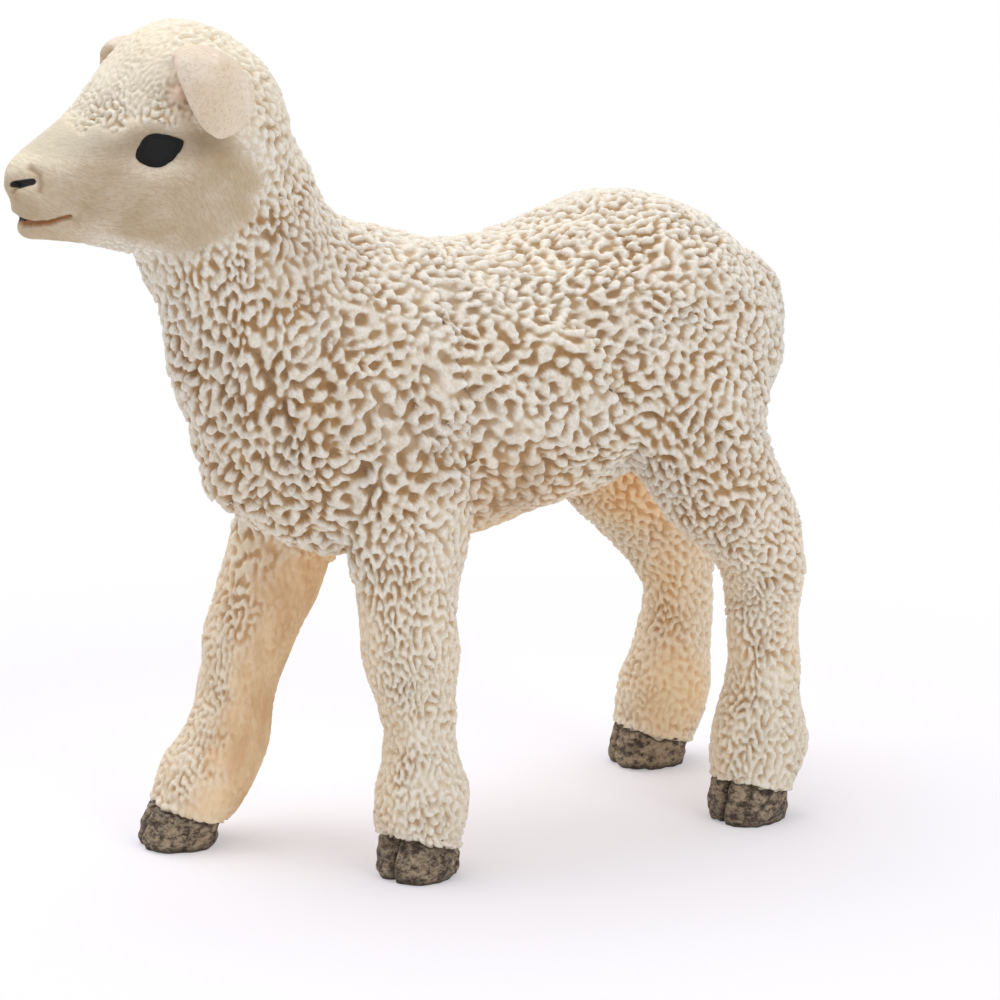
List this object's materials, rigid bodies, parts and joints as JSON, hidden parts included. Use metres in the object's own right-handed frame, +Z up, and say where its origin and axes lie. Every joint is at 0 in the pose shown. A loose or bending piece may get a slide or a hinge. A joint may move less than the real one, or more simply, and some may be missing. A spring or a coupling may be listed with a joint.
{
  "type": "toy farm animal figure",
  "caption": "Small moulded toy lamb standing with its head up and one front foot forward, curly fleece, smooth face, drooping ears, dark eyes and cloven hooves.",
  "frame": {"origin": "on the floor under the middle of the figure's bounding box, soles at Z = 0", "axes": "+X towards the lamb's left side, -Y towards its nose, +Z up"},
  "size_m": [0.0198, 0.0524, 0.0524],
  "materials": {
    "fleece": "matte paint on soft moulded plastic, ochre wash in the curls",
    "face": "matte paint, fine fur strokes, faint ochre shading",
    "ear": "matte paint with a pinkish inner edge",
    "hoof": "matte grey-brown paint, darker in the cleft",
    "eye": "black satin paint"
  },
  "bodies": {
    "root": {"trunk": "fleece", "head": "face", "left_ear": "ear", "right_ear": "ear", "left_eye": "eye", "right_eye": "eye", "tail": "fleece", "left_front_leg": "fleece", "right_front_leg": "fleece", "left_hind_leg": "fleece", "right_hind_leg": "fleece", "left_front_hoof": "hoof", "right_front_hoof": "hoof", "left_hind_hoof": "hoof", "right_hind_hoof": "hoof"}
  },
  "joints": []
}
